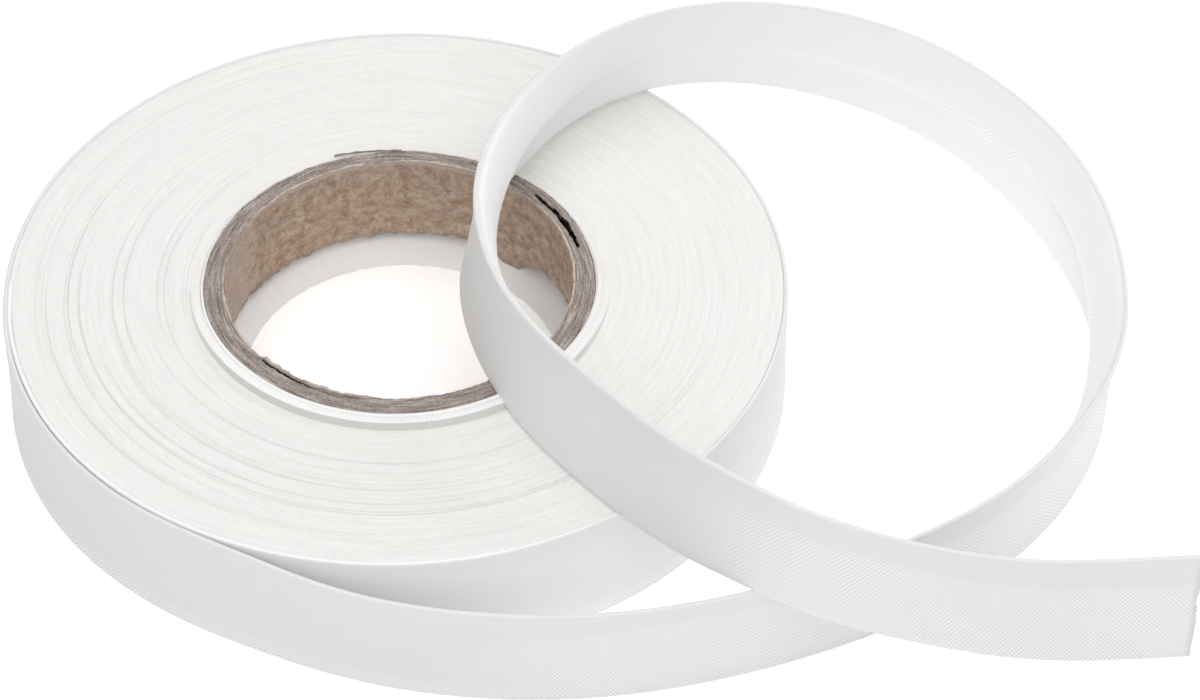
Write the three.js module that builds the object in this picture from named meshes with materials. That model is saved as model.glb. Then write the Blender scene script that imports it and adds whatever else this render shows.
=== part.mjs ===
// Roll of bias tape: a folded cotton tape wound on a short paperboard core, with its outer end
// pulled loose into one open loop. Millimetres, +Z up. The roll lies flat on the table.
import * as THREE from 'three';
import { mergeVertices } from 'three/addons/utils/BufferGeometryUtils.js';

// Driving dimensions
const TAPE_WIDTH = 15;
const TAPE_THICKNESS = 1;
const ROLL_RADIUS = 47.5;
const CORE_RADIUS = 23.7;
const CORE_WALL = 2.7;
const FIT_GAP = 0.3;

// The outermost turn steps down by one thickness of tape where the loose end lifts off, at the left
const TURN_STEP = 0.9;
const LIFT_OFF = THREE.MathUtils.degToRad(178.5);
const HUG_START = THREE.MathUtils.degToRad(181);
const HUG_END = THREE.MathUtils.degToRad(229);
const HUG_STATIONS = 9;

// The innermost turns stand proud of the top face at the front, and close in under the core
const COLLAR_RISE = 0.9;
const CORE_SEAT = 2.9;
const LIP_RADIUS = 19.4;

// The core was wound a little off centre, and cut out of square at both ends
const CORE_OFFSET = new THREE.Vector2(0.5, 0.5);
const CORE_TOP = 14.8;
const CORE_TOP_TILT = 0.5;
const CORE_TOP_HIGH_SIDE = THREE.MathUtils.degToRad(45);
const CORE_FOOT = CORE_SEAT + FIT_GAP + 0.1;
const CORE_FOOT_SKEW = 3.4;
const CORE_FOOT_HIGH_SIDE = THREE.MathUtils.degToRad(-10);

// Facets
const ROLL_SEGMENTS = 120;
const CORE_SEGMENTS = 90;
const TAPE_STEPS = 150;

// Half section of the wound roll, up the outside and down the inside: radius and height of each
// corner, how far it follows the outer turn's step, the proud collar and the core's offset
const BORE_RADIUS = CORE_RADIUS + FIT_GAP;
const ROLL_SECTION = [
  { r: ROLL_RADIUS - 0.4, z: 0, turn: 1, collar: 0, bore: 0 },
  { r: ROLL_RADIUS, z: 0.5, turn: 1, collar: 0, bore: 0 },
  { r: ROLL_RADIUS, z: TAPE_WIDTH - 0.5, turn: 1, collar: 0, bore: 0 },
  { r: ROLL_RADIUS - 0.5, z: TAPE_WIDTH, turn: 1, collar: 0, bore: 0 },
  { r: 37, z: TAPE_WIDTH - 0.1, turn: 0, collar: 0, bore: 0 },
  { r: BORE_RADIUS + 2.5, z: TAPE_WIDTH - 0.2, turn: 0, collar: 0, bore: 1 },
  { r: BORE_RADIUS + 2, z: TAPE_WIDTH - 0.6, turn: 0, collar: 0, bore: 1 },
  { r: BORE_RADIUS + 1.8, z: TAPE_WIDTH - 0.2, turn: 0, collar: 1, bore: 1 },
  { r: BORE_RADIUS + 0.3, z: TAPE_WIDTH - 0.1, turn: 0, collar: 1, bore: 1 },
  { r: BORE_RADIUS, z: TAPE_WIDTH - 0.4, turn: 0, collar: 1, bore: 1 },
  { r: BORE_RADIUS, z: CORE_SEAT, turn: 0, collar: 0, bore: 1 },
  { r: LIP_RADIUS + 0.5, z: CORE_SEAT - 0.3, turn: 0, collar: 0, bore: 1 },
  { r: LIP_RADIUS, z: CORE_SEAT - 0.8, turn: 0, collar: 0, bore: 1 },
  { r: LIP_RADIUS, z: 0.4, turn: 0, collar: 0, bore: 1 },
  { r: LIP_RADIUS + 0.4, z: 0, turn: 0, collar: 0, bore: 1 },
];

// Half section of the core: how far each corner follows the tilted top and the skewed foot
const CORE_INNER = CORE_RADIUS - CORE_WALL;
const CORE_SECTION = [
  { r: CORE_RADIUS, z: CORE_FOOT, top: 0, foot: 1 },
  { r: CORE_RADIUS, z: CORE_TOP - 0.2, top: 1, foot: 0 },
  { r: CORE_RADIUS - 0.3, z: CORE_TOP, top: 1, foot: 0 },
  { r: CORE_INNER + 0.4, z: CORE_TOP, top: 1, foot: 0 },
  { r: CORE_INNER, z: CORE_TOP - 0.4, top: 1, foot: 0 },
  { r: CORE_INNER, z: CORE_FOOT + 0.3, top: 0, foot: 1 },
  { r: CORE_INNER + 0.4, z: CORE_FOOT, top: 0, foot: 1 },
];

// Course of the loose tape after it leaves the roll, seen from above: plan place of its lower edge,
// height of that edge over the table, and how far the upper edge leans out (+) or in (-)
const LOOSE_COURSE = [
  { x: -22.0, y: -42.8, foot: 0, lean: 0 },
  { x: -6.0, y: -50.4, foot: 0, lean: 0 },
  { x: 10.0, y: -53.8, foot: 0, lean: 0 },
  { x: 25.0, y: -53.7, foot: 0, lean: 0 },
  { x: 40.0, y: -50.5, foot: 0, lean: 0 },
  { x: 57.0, y: -43.5, foot: 0, lean: 0 },
  { x: 73.0, y: -32.3, foot: 0, lean: 0.3 },
  { x: 82.5, y: -19.0, foot: 0.1, lean: 0.9 },
  { x: 86.4, y: -6.5, foot: 1.4, lean: 1.6 },
  { x: 86.0, y: 1.0, foot: 3.2, lean: 1.9 },
  { x: 84.0, y: 8.0, foot: 5.2, lean: 2.4 },
  { x: 80.8, y: 14.8, foot: 7.2, lean: 2.5 },
  { x: 75.8, y: 21.8, foot: 9.3, lean: 1.8 },
  { x: 68.4, y: 28.5, foot: 11.8, lean: 0.7 },
  { x: 55.0, y: 34.6, foot: 14.8, lean: -0.9 },
  { x: 38.5, y: 36.0, foot: 16.8, lean: -2.5 },
  { x: 30.2, y: 34.2, foot: 17.1, lean: -3.0 },
  { x: 21.5, y: 28.3, foot: 17.1, lean: -2.8 },
  { x: 14.5, y: 18.2, foot: 17.1, lean: -1.7 },
  { x: 10.6, y: 8.5, foot: 17.1, lean: -1.2 },
  { x: 8.6, y: -1.0, foot: 17.1, lean: -1.6 },
  { x: 9.3, y: -9.0, foot: 17.1, lean: -1.4 },
  { x: 12.2, y: -19.3, foot: 17.1, lean: -1.4 },
  { x: 16.8, y: -28.0, foot: 17.1, lean: -2.0 },
  { x: 24.6, y: -37.8, foot: 17.1, lean: -2.2 },
  { x: 35.1, y: -48.2, foot: 17.2, lean: -1.8 },
  { x: 41.5, y: -52.2, foot: 17.0, lean: -1.3 },
  { x: 46.0, y: -53.4, foot: 15.0, lean: -1.2 },
  { x: 51.2, y: -53.5, foot: 12.7, lean: -1.1 },
  { x: 63.0, y: -52.1, foot: 7.2, lean: -1.0 },
  { x: 76.7, y: -49.4, foot: 1.8, lean: -1.4 },
  { x: 83.2, y: -48.0, foot: 0.4, lean: -1.6 },
  { x: 93.2, y: -46.9, foot: 0, lean: -1.5 },
];

const COTTON = new THREE.MeshStandardMaterial({ color: 0xecebe8, roughness: 0.9, metalness: 0 });
const PAPERBOARD = new THREE.MeshStandardMaterial({ color: 0x8a7460, roughness: 0.95, metalness: 0 });

// A ring turned round +Z from a half section that closes on itself
function turnedRing(section, segments) {
  const outline = section.map(({ r, z }) => new THREE.Vector2(r, z));
  const lathe = new THREE.LatheGeometry([...outline, outline[0]], segments);
  lathe.deleteAttribute('normal');
  lathe.deleteAttribute('uv');
  return mergeVertices(lathe.rotateX(Math.PI / 2), 1e-4);
}

// Moves every corner of a turned ring by a rule of its section row and its angle round the axis
function shapeRing(ring, section, rule) {
  const places = ring.getAttribute('position');
  const corner = new THREE.Vector3();
  for (let i = 0; i < places.count; i += 1) {
    corner.fromBufferAttribute(places, i);
    const radius = Math.hypot(corner.x, corner.y);
    const miss = section.map(({ r, z }) => Math.hypot(r - radius, z - corner.z));
    const row = section[miss.indexOf(Math.min(...miss))];
    rule(corner, row, Math.atan2(corner.y, corner.x), radius);
    places.setXYZ(i, corner.x, corner.y, corner.z);
  }
  ring.computeVertexNormals();
  return ring;
}

// Share of the last turn that lies between the lift-off and an angle, going counter-clockwise
function turnShare(angle) {
  return THREE.MathUtils.euclideanModulo(angle - LIFT_OFF, 2 * Math.PI) / (2 * Math.PI);
}

function rollRadius(angle) {
  return ROLL_RADIUS - TURN_STEP * (1 - turnShare(angle));
}

function woundRoll() {
  const ring = turnedRing(ROLL_SECTION, ROLL_SEGMENTS);
  return shapeRing(ring, ROLL_SECTION, (corner, row, angle, radius) => {
    const drawnIn = 1 - (row.turn * (ROLL_RADIUS - rollRadius(angle))) / radius;
    const collar = row.collar * COLLAR_RISE * (0.5 - 0.5 * Math.sin(angle));
    corner.x = corner.x * drawnIn + row.bore * CORE_OFFSET.x;
    corner.y = corner.y * drawnIn + row.bore * CORE_OFFSET.y;
    corner.z += collar;
  });
}

function core() {
  const ring = turnedRing(CORE_SECTION, CORE_SEGMENTS);
  return shapeRing(ring, CORE_SECTION, (corner, row, angle) => {
    const tilt = CORE_TOP_TILT * Math.cos(angle - CORE_TOP_HIGH_SIDE);
    const skew = CORE_FOOT_SKEW * (0.5 + 0.5 * Math.cos(angle - CORE_FOOT_HIGH_SIDE)) ** 2;
    corner.x += CORE_OFFSET.x;
    corner.y += CORE_OFFSET.y;
    corner.z += row.top * tilt + row.foot * skew;
  });
}

// The stretch that still lies on the roll, then the free course
function looseStations() {
  const hug = [];
  for (let i = 0; i < HUG_STATIONS; i += 1) {
    const angle = THREE.MathUtils.lerp(HUG_START, HUG_END, i / (HUG_STATIONS - 1));
    const r = rollRadius(angle) + FIT_GAP + TAPE_THICKNESS / 2;
    hug.push({ x: r * Math.cos(angle), y: r * Math.sin(angle), foot: 0, lean: 0 });
  }
  return [...hug, ...LOOSE_COURSE];
}

// A strip on edge along the stations: four corners a step, closed at both ends
function looseTape() {
  const stations = looseStations();
  const footCurve = new THREE.CatmullRomCurve3(
    stations.map(({ x, y, foot }) => new THREE.Vector3(x, y, foot)), false, 'centripetal');
  const leanCurve = new THREE.CatmullRomCurve3(
    stations.map(({ lean }, i) => new THREE.Vector3(i, lean, 0)), false, 'centripetal');
  const up = new THREE.Vector3(0, 0, 1);
  const corners = [];
  for (let i = 0; i <= TAPE_STEPS; i += 1) {
    const t = footCurve.getUtoTmapping(i / TAPE_STEPS);
    const foot = footCurve.getPoint(t);
    foot.z = Math.max(foot.z, 0);
    const outward = footCurve.getTangent(t).setZ(0).normalize().cross(up);
    const lean = leanCurve.getPoint(t).y;
    const rise = Math.sqrt(TAPE_WIDTH ** 2 - lean ** 2);
    for (const [side, height] of [[1, 0], [1, 1], [-1, 1], [-1, 0]]) {
      const out = (side * TAPE_THICKNESS) / 2 + height * lean;
      corners.push(foot.x + outward.x * out, foot.y + outward.y * out, foot.z + height * rise);
    }
  }
  const faces = [];
  const last = TAPE_STEPS * 4;
  for (let i = 0; i < TAPE_STEPS; i += 1) {
    for (let k = 0; k < 4; k += 1) {
      const here = i * 4 + k;
      const next = i * 4 + ((k + 1) % 4);
      faces.push(here, here + 4, next + 4, here, next + 4, next);
    }
  }
  faces.push(0, 1, 2, 0, 2, 3, last, last + 2, last + 1, last, last + 3, last + 2);
  const strip = new THREE.BufferGeometry();
  strip.setAttribute('position', new THREE.Float32BufferAttribute(corners, 3));
  strip.setIndex(faces);
  strip.computeVertexNormals();
  return strip;
}

function named(name, geometry, material) {
  const mesh = new THREE.Mesh(geometry, material);
  mesh.name = name;
  return mesh;
}

// The origin is under the middle of the whole part, on the table
const pieces = new THREE.Group();
pieces.add(named('core', core(), PAPERBOARD));
pieces.add(named('wound_roll', woundRoll(), COTTON));
pieces.add(named('loose_tape', looseTape(), COTTON));
const reach = new THREE.Box3().setFromObject(pieces, true).getCenter(new THREE.Vector3());
pieces.position.set(-reach.x, -reach.y, 0);

const rollOfBiasTape = new THREE.Group();
rollOfBiasTape.add(pieces);

export default rollOfBiasTape;
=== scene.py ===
# Roll of bias tape: white poplin tape with pressed-in edges, wound on a short paperboard core,
# its outer end pulled loose into one open loop. Sizes are in millimetres from the roll's axis.
import math
from collections import namedtuple

import bpy
import numpy as np
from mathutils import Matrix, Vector


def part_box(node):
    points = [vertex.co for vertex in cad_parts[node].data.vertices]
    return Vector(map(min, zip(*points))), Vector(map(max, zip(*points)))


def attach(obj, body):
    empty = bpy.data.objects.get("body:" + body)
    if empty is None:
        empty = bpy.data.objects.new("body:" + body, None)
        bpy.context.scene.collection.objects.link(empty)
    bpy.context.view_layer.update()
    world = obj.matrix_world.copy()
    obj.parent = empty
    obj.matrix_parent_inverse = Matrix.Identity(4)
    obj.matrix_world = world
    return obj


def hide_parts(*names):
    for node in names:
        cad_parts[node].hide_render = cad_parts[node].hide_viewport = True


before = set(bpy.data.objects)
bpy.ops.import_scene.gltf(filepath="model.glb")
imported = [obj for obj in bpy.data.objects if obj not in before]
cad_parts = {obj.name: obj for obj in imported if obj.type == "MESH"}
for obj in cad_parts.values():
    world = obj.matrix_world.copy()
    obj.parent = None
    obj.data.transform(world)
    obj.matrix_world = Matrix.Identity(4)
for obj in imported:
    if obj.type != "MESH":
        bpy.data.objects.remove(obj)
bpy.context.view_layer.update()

MM = 0.001
TAU = 2 * math.pi

# Tape: a strip cut on the bias, both edges pressed over to the inner side
TAPE_WIDTH = 15.0
CLOTH = 0.16
FOLD_RADIUS = 0.19
FOLD_PUFF = 0.04
LAYER_PITCH = 0.33
TOP_FLAP = 8.5
BOTTOM_FLAP = 6.7
TOP_OVER_BOTTOM = 0.35
RAW_EDGE = 0.1
THREAD_PITCH = 0.42
DOT_PITCH = 0.5

# Wound turns, from the core to the outermost turn; the innermost stand proud at the front as a collar
TURN_PITCH = 0.4396
TURN_STEPS = 288
WOUND_STEPS = 51 * TURN_STEPS + 178
WOUND_START = math.radians(317.5)
TURN_START = math.radians(180)
SLACK_SIDE = math.radians(240)
COLLAR_TURNS = 3.4
COLLAR_RISE = 1.0
CREST_BELOW_EDGE = 0.02
CREST_WANDER = 0.025
CREST_RIPPLE = 0.01
GAP_LEAST = 0.01
GAP_MOST = 0.6
TIGHT_SIDE = 0.25
FOOT_PRESS = 0.03
LAST_VALLEY = 0.03
RIM_DEPTH = 0.03
SLACK_RIM_DEPTH = 0.09
WOUND_INNER = 23.9
WOUND_OUTER = WOUND_INNER + TURN_PITCH * (WOUND_STEPS / TURN_STEPS + 1)

# Core and the turned-in lip under it
CORE_OFFSET = 0.5
RIM_OFFSET = 0.2
CORE_RADIUS = 23.75
CORE_WALL = 2.7
BORE_SHIFT = 0.4
CORE_TOP = 15.3
CORE_RIM_RISE = 0.2
CORE_FOOT = 3.3
CORE_FOOT_SKEW = 2.4
LINER_TAG = math.radians(53)
LINER_TAG_HALF = math.radians(7)
LINER_TAG_DROP = 2.7
LIP_RADIUS = 19.4
LIP_TOP = 2.9
SLEEVE_STEPS = 360

core_low, core_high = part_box("core")
ROLL_AXIS = np.array([
    (core_low.x + core_high.x) / 2 - CORE_OFFSET * MM,
    (core_low.y + core_high.y) / 2 - CORE_OFFSET * MM,
    0.0,
])


# Numbers

def spline(at, rows, where):
    """Natural cubic spline through rows given at rising places."""
    step = np.diff(at)
    count = len(at)
    system = np.eye(count)
    bend = np.zeros((count, rows.shape[1]))
    slope = np.diff(rows, axis=0) / step[:, None]
    for i in range(1, count - 1):
        system[i, i - 1:i + 2] = step[i - 1], 2 * (step[i - 1] + step[i]), step[i]
        bend[i] = 6 * (slope[i] - slope[i - 1])
    curve = np.linalg.solve(system, bend)
    i = np.clip(np.searchsorted(at, where) - 1, 0, count - 2)
    h = step[i][:, None]
    a = (at[i + 1] - where)[:, None] / h
    b = 1 - a
    straight = a * rows[i] + b * rows[i + 1]
    return straight + ((a ** 3 - a) * curve[i] + (b ** 3 - b) * curve[i + 1]) * h * h / 6


def relaxed(rows, reach):
    """Rows evened out over a reach of that many rows, with both ends kept."""
    half = int(3 * reach)
    window = np.exp(-0.5 * (np.arange(-half, half + 1) / reach) ** 2)
    window /= window.sum()
    before = 2 * rows[0] - rows[half:0:-1]
    after = 2 * rows[-1] - rows[-2:-half - 2:-1]
    padded = np.concatenate([before, rows, after])
    return np.stack([np.convolve(column, window, "valid") for column in padded.T], axis=1)


def drift(places, spacing, rng):
    """A random value that changes slowly along rising places, about -1 to 1."""
    knots = np.arange(places.min() - spacing, places.max() + 3 * spacing, spacing)
    values = rng.uniform(-1, 1, (len(knots), 1))
    return spline(knots, values, places)[:, 0]


def ring_drift(angle, waves, rng):
    """A random value round a ring that joins up with itself, about -1 to 1."""
    total = np.zeros_like(angle)
    for wave in waves:
        total += np.cos(wave * angle + rng.uniform(0, TAU))
    return total / math.sqrt(len(waves))


def smooth_step(x):
    x = np.clip(x, 0, 1)
    return x * x * (3 - 2 * x)


# Meshes

def piece(name, points, faces, material, marks=None):
    """A smooth mesh from points in millimetres, with marks per point for its material: three numbers, and
    for the tape also how far other layers back it, with painted light added to that number."""
    mesh = bpy.data.meshes.new(name)
    mesh.from_pydata((points * MM + ROLL_AXIS).tolist(), [], np.asarray(faces).tolist())
    if marks is not None:
        layer = mesh.attributes.new("marks_mm", "FLOAT_VECTOR", "POINT")
        layer.data.foreach_set("vector", np.ascontiguousarray(marks[:, :3], np.float32).ravel())
    if marks is not None and marks.shape[1] > 3:
        backing_and_lit = mesh.attributes.new("backing_and_lit", "FLOAT", "POINT")
        backing_and_lit.data.foreach_set("value", np.ascontiguousarray(marks[:, 3], np.float32))
    mesh.materials.append(material)
    mesh.shade_smooth()
    made = bpy.data.objects.new(name, mesh)
    bpy.context.scene.collection.objects.link(made)
    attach(made, "root")
    return made


def loft_faces(rows, columns, join_rows):
    """Quads between closed sections of points, rows one after another, joined up into a ring or not."""
    here = np.arange(rows if join_rows else rows - 1)[:, None]
    there = (here + 1) % rows
    k = np.arange(columns)[None, :]
    n = (k + 1) % columns
    corners = [here * columns + k, there * columns + k, there * columns + n, here * columns + n]
    return np.stack(corners, -1).reshape(-1, 4)


# Materials

def linear(hex_colour):
    """Linear colour of an sRGB hex value."""
    parts = [int(hex_colour[i:i + 2], 16) / 255 for i in (1, 3, 5)]
    return [c / 12.92 if c <= 0.04045 else ((c + 0.055) / 1.055) ** 2.4 for c in parts] + [1.0]


def node(tree, kind, inputs=None, **settings):
    """Adds a node: settings are its properties, inputs are socket values or the sockets that feed them."""
    made = tree.nodes.new("ShaderNode" + kind)
    for name, value in settings.items():
        setattr(made, name, value)
    for name, value in (inputs or {}).items():
        if isinstance(value, bpy.types.NodeSocket):
            tree.links.new(value, made.inputs[name])
        else:
            made.inputs[name].default_value = value
    return made


def blank(name, roughness, specular):
    """A new material with its node tree and its surface, before any colour."""
    material = bpy.data.materials.new(name)
    material.use_nodes = True
    tree = material.node_tree
    surface = tree.nodes["Principled BSDF"]
    surface.inputs["Roughness"].default_value = roughness
    surface.inputs["Specular IOR Level"].default_value = specular
    return material, tree, surface


def woven_poplin():
    """Plain-woven bleached cotton poplin, cut on the bias and pressed. Its threads cross at 45 degrees to
    the tape, so the eye gets a fine diagonal grid that glints where one layer lies free and fades where
    the pressed flap backs it. The real pitch of about 0.36 mm is drawn a little coarser, to show."""
    material, tree, surface = blank("bleached_poplin_bias_cut", roughness=0.65, specular=0.3)
    marks = node(tree, "Attribute", attribute_name="marks_mm")
    apart = node(tree, "SeparateXYZ", {0: marks.outputs["Vector"]})
    turn = TAU / THREAD_PITCH
    flat = node(tree, "CombineXYZ", {0: apart.outputs[0], 1: apart.outputs[1]})
    # the grid bends by about a thread over 20 mm, as cloth pulled off its grain does
    wander = node(tree, "TexNoise", {"Vector": flat.outputs[0], "Scale": 0.05, "Detail": 1.0})
    moved = node(tree, "VectorMath", {0: wander.outputs["Color"], 1: (0.9, 0.9, 0), 2: flat.outputs[0]},
                 operation="MULTIPLY_ADD")
    threads = node(tree, "Mapping", {
        "Vector": moved.outputs[0], "Rotation": (0, 0, math.pi / 4), "Scale": (turn, turn, 1)})
    crossing = node(tree, "SeparateXYZ", {0: threads.outputs[0]})
    warp = node(tree, "Math", {0: crossing.outputs[0]}, operation="SINE")
    weft = node(tree, "Math", {0: crossing.outputs[1]}, operation="SINE")
    weave = node(tree, "Math", {0: weft.outputs[0], 1: 0.7, 2: warp.outputs[0]}, operation="MULTIPLY_ADD")
    # patches from 3 mm down to a thread or two, where the threads stand up more
    patch = node(tree, "TexNoise", {
        "Vector": flat.outputs[0], "Scale": 0.33, "Detail": 7.0, "Roughness": 0.7})
    raised = node(tree, "MapRange", {"Value": patch.outputs[0], "From Min": 0.34, "From Max": 0.64,
                                     "To Min": 0.1, "To Max": 1.0})
    # the iron flattened some stretches of 10 to 20 mm more than others
    ironed = node(tree, "TexNoise", {"Vector": flat.outputs[0], "Scale": 0.08, "Detail": 1.0})
    uneven = node(tree, "MapRange", {"Value": ironed.outputs[0], "From Min": 0.36, "From Max": 0.6,
                                     "To Min": 0.25, "To Max": 1.35})
    standing = node(tree, "Math", {0: raised.outputs[0], 1: uneven.outputs[0]}, operation="MULTIPLY")
    shown = node(tree, "Math", {0: standing.outputs[0], 1: apart.outputs[2]}, operation="MULTIPLY")
    height = node(tree, "Math", {0: weave.outputs[0], 1: shown.outputs[0]}, operation="MULTIPLY")
    # cloth backed by other layers sends back more light than a loose face; the same mark also carries
    # painted light for tape in shade, and open weave is painted a little lighter as a glint
    backing_and_lit = node(tree, "Attribute", attribute_name="backing_and_lit")
    backed_and_lit = node(tree, "MapRange", {"Value": backing_and_lit.outputs["Fac"], "To Min": 0.05, "To Max": 0.68})
    base = node(tree, "Math", {
        0: apart.outputs[2], 1: 0.14, 2: backed_and_lit.outputs[0]}, operation="MULTIPLY_ADD")
    tone = node(tree, "Math", {
        0: height.outputs[0], 1: 0.3, 2: base.outputs[0]}, operation="MULTIPLY_ADD")
    colour = node(tree, "Mix", {
        0: tone.outputs[0], 6: linear("#CECECD"), 7: linear("#F8F8F8")}, data_type="RGBA")
    bump = node(tree, "Bump", {"Height": height.outputs[0], "Strength": 0.45, "Distance": 0.025 * MM})
    tree.links.new(colour.outputs[2], surface.inputs["Base Color"])
    tree.links.new(bump.outputs[0], surface.inputs["Normal"])
    surface.inputs["Sheen Weight"].default_value = 0.08
    surface.inputs["Sheen Roughness"].default_value = 0.4
    return material


def folded_edges():
    """The same poplin seen on its pressed folds, turn on turn. The eye gets a soft matt white with a faint
    grain of threads bent over the fold, under half a millimetre long, in clouds of about 8 mm."""
    material, tree, surface = blank("bleached_poplin_wound_folds", roughness=0.75, specular=0.25)
    marks = node(tree, "Attribute", attribute_name="marks_mm")
    grain = node(tree, "TexNoise", {"Vector": marks.outputs["Vector"], "Scale": 2.2, "Detail": 2.0})
    cloud = node(tree, "TexNoise", {"Vector": marks.outputs["Vector"], "Scale": 0.12, "Detail": 2.0})
    both = node(tree, "Math", {0: grain.outputs[0], 1: cloud.outputs[0]}, operation="ADD")
    tone = node(tree, "MapRange", {"Value": both.outputs[0], "From Min": 0.6, "From Max": 1.4})
    crests = node(tree, "Mix", {
        0: tone.outputs[0], 6: linear("#DAD9D7"), 7: linear("#E9E8E6")}, data_type="RGBA")
    # the proud turns are pulled tight over their fold, so their threads show as pale dots; their flank
    # is painted grey as shade
    place = node(tree, "SeparateXYZ", {0: marks.outputs["Vector"]})
    proud = node(tree, "MapRange", {"Value": place.outputs[2], "From Min": 0.0, "From Max": -1.0})
    offset = node(tree, "Math", {0: place.outputs[1], 1: TAU / 2 / TURN_PITCH}, operation="MULTIPLY")
    along = node(tree, "Math", {
        0: place.outputs[0], 1: TAU / DOT_PITCH, 2: offset.outputs[0]}, operation="MULTIPLY_ADD")
    warp = node(tree, "Math", {0: along.outputs[0]}, operation="SINE")
    pale = node(tree, "Math", {0: warp.outputs[0], 1: 0.22, 2: 0.3}, operation="MULTIPLY_ADD")
    dots = node(tree, "Math", {0: pale.outputs[0], 1: proud.outputs[0]}, operation="MULTIPLY")
    collar = node(tree, "Mix", {
        0: dots.outputs[0], 6: crests.outputs[2], 7: linear("#FFFFFF")}, data_type="RGBA")
    colour = node(tree, "Mix", {
        0: place.outputs[2], 6: collar.outputs[2], 7: linear("#CCCBC9")}, data_type="RGBA")
    bump = node(tree, "Bump", {"Height": grain.outputs[0], "Strength": 0.35, "Distance": 0.08 * MM})
    tree.links.new(colour.outputs[2], surface.inputs["Base Color"])
    tree.links.new(bump.outputs[0], surface.inputs["Normal"])
    return material


def raw_paperboard():
    """Recycled paperboard, wound from kraft plies and cut with a blade. Its cut end shows thin grey-brown
    ply lines, and its bore shows brown liner with dark and pale flecks of fibre."""
    material, tree, surface = blank("raw_wound_paperboard", roughness=0.9, specular=0.15)
    marks = node(tree, "Attribute", attribute_name="marks_mm")
    apart = node(tree, "SeparateXYZ", {0: marks.outputs["Vector"]})
    flat = node(tree, "CombineXYZ", {0: apart.outputs[0], 1: apart.outputs[1]})
    # liner: fibrous mottling from 2 mm down to a tenth, with flecks under half a millimetre
    blotch = node(tree, "TexNoise", {
        "Vector": flat.outputs[0], "Scale": 0.65, "Detail": 9.0, "Roughness": 0.8})
    fleck = node(tree, "TexNoise", {
        "Vector": flat.outputs[0], "Scale": 2.1, "Detail": 5.0, "Roughness": 0.7})
    liner = node(tree, "ValToRGB", {0: blotch.outputs[0]})
    liner.color_ramp.elements[0].position = 0.32
    liner.color_ramp.elements[0].color = linear("#7F6552")
    liner.color_ramp.elements[1].position = 0.66
    liner.color_ramp.elements[1].color = linear("#CFBBA9")
    dark = node(tree, "MapRange", {"Value": fleck.outputs[0], "From Min": 0.41, "From Max": 0.31})
    pale = node(tree, "MapRange", {"Value": fleck.outputs[0], "From Min": 0.6, "From Max": 0.7})
    flecked = node(tree, "Mix", {
        0: dark.outputs[0], 6: liner.outputs[0], 7: linear("#6E5344")}, data_type="RGBA")
    bore = node(tree, "Mix", {
        0: pale.outputs[0], 6: flecked.outputs[2], 7: linear("#DCCDBF")}, data_type="RGBA")
    # cut end: plies of 0.15 to 0.5 mm, streaked along the ring and crumbled by the blade
    stretched = node(tree, "Mapping", {"Vector": flat.outputs[0], "Scale": (0.22, 4.6, 1)})
    ply = node(tree, "TexNoise", {
        "Vector": stretched.outputs[0], "Scale": 1.0, "Detail": 6.0, "Roughness": 0.6})
    crumb = node(tree, "TexNoise", {
        "Vector": flat.outputs[0], "Scale": 2.6, "Detail": 4.0, "Roughness": 0.7})
    streak = node(tree, "Math", {
        0: crumb.outputs[0], 1: 0.45, 2: ply.outputs[0]}, operation="MULTIPLY_ADD")
    grain = node(tree, "ValToRGB", {0: streak.outputs[0]})
    grain.color_ramp.elements[0].position = 0.5
    grain.color_ramp.elements[0].color = linear("#5E534D")
    grain.color_ramp.elements[1].position = 0.95
    grain.color_ramp.elements[1].color = linear("#CAC1BB")
    grain.color_ramp.elements.new(0.72).color = linear("#998D86")
    # the torn rim between the two is pale, and an open split is painted nearly black as shade
    cut = node(tree, "MapRange", {"Value": apart.outputs[2], "From Min": 0.0, "From Max": 1.0})
    between = node(tree, "Math", {0: apart.outputs[2], 1: 0.5, 2: 0.45}, operation="COMPARE")
    split = node(tree, "MapRange", {"Value": apart.outputs[2], "From Min": 1.1, "From Max": 1.5})
    ends = node(tree, "Mix", {
        0: cut.outputs[0], 6: bore.outputs[2], 7: grain.outputs[0]}, data_type="RGBA")
    torn = node(tree, "Math", {0: between.outputs[0], 1: apart.outputs[2]}, operation="MULTIPLY")
    rim = node(tree, "Mix", {
        0: torn.outputs[0], 6: ends.outputs[2], 7: linear("#D8CCC1")}, data_type="RGBA")
    colour = node(tree, "Mix", {
        0: split.outputs[0], 6: rim.outputs[2], 7: linear("#15100D")}, data_type="RGBA")
    rough = node(tree, "Math", {0: fleck.outputs[0], 1: streak.outputs[0]}, operation="ADD")
    bump = node(tree, "Bump", {"Height": rough.outputs[0], "Strength": 0.6, "Distance": 0.2 * MM})
    tree.links.new(colour.outputs[2], surface.inputs["Base Color"])
    tree.links.new(bump.outputs[0], surface.inputs["Normal"])
    return material


def spun_fibre(name, colour, light):
    """Loose cotton or paper fibre, frayed or torn: matt, its tone changing about once a millimetre."""
    material, tree, surface = blank(name, roughness=0.8, specular=0.25)
    place = node(tree, "TexCoord")
    change = node(tree, "TexNoise", {"Vector": place.outputs["Object"], "Scale": 0.9 / MM, "Detail": 1.0})
    tone = node(tree, "Mix", {
        0: change.outputs[0], 6: linear(colour), 7: linear(light)}, data_type="RGBA")
    tree.links.new(tone.outputs[2], surface.inputs["Base Color"])
    return material


POPLIN = woven_poplin()
WOUND_FOLDS = folded_edges()
PAPERBOARD = raw_paperboard()
COTTON_THREAD = spun_fibre("frayed_cotton_thread", "#F0F0EF", "#FCFCFB")
PAPER_FIBRE = spun_fibre("torn_kraft_fibre", "#BBA999", "#E9E1D8")


# The tape: the outermost turn, the stretch that leans on the roll, the loop and the cut end

Station = namedtuple("Station", "x y foot lean hollow crease top bottom")

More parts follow.
